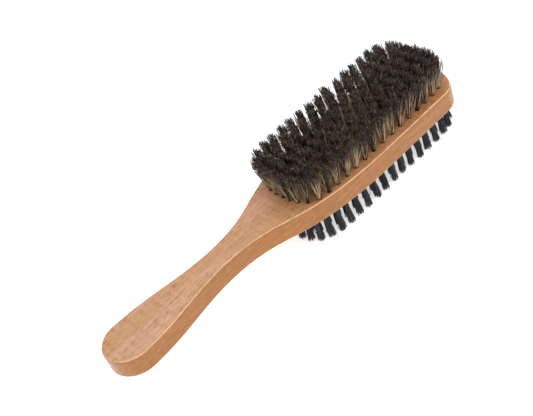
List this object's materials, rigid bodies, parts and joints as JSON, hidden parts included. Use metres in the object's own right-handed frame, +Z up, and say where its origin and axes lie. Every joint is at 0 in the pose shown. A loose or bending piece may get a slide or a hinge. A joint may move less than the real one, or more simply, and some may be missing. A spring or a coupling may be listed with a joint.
{
  "type": "beard brush",
  "caption": "Double-sided beard brush: waisted wooden handle and oval head, natural bristle tufts on one face and black nylon tufts on the other.",
  "frame": {"origin": "under the middle of the brush's length and width, on the plane of the nylon tips that it stands on", "axes": "+X along the brush from the butt of the handle to the end of the head, +Z up towards the natural bristle side, Y across"},
  "size_m": [0.225, 0.0492, 0.041],
  "materials": {
    "wood": "satin lacquered hardwood, honey brown, fine open pores along the grain",
    "boar_bristle": "natural dark brown bristle with lighter grey-tan strands, low sheen",
    "nylon_bristle": "black nylon bristle, slight sheen"
  },
  "bodies": {
    "root": {"wood_body": "wood", "boar_line_01": "boar_bristle", "boar_line_02": "boar_bristle", "boar_line_03": "boar_bristle", "boar_line_04": "boar_bristle", "boar_line_05": "boar_bristle", "boar_line_06": "boar_bristle", "boar_line_07": "boar_bristle", "boar_line_08": "boar_bristle", "boar_line_09": "boar_bristle", "nylon_line_01": "nylon_bristle", "nylon_line_02": "nylon_bristle", "nylon_line_03": "nylon_bristle", "nylon_line_04": "nylon_bristle", "nylon_line_05": "nylon_bristle", "nylon_line_06": "nylon_bristle", "nylon_line_07": "nylon_bristle", "nylon_line_08": "nylon_bristle", "nylon_line_09": "nylon_bristle"}
  },
  "joints": []
}
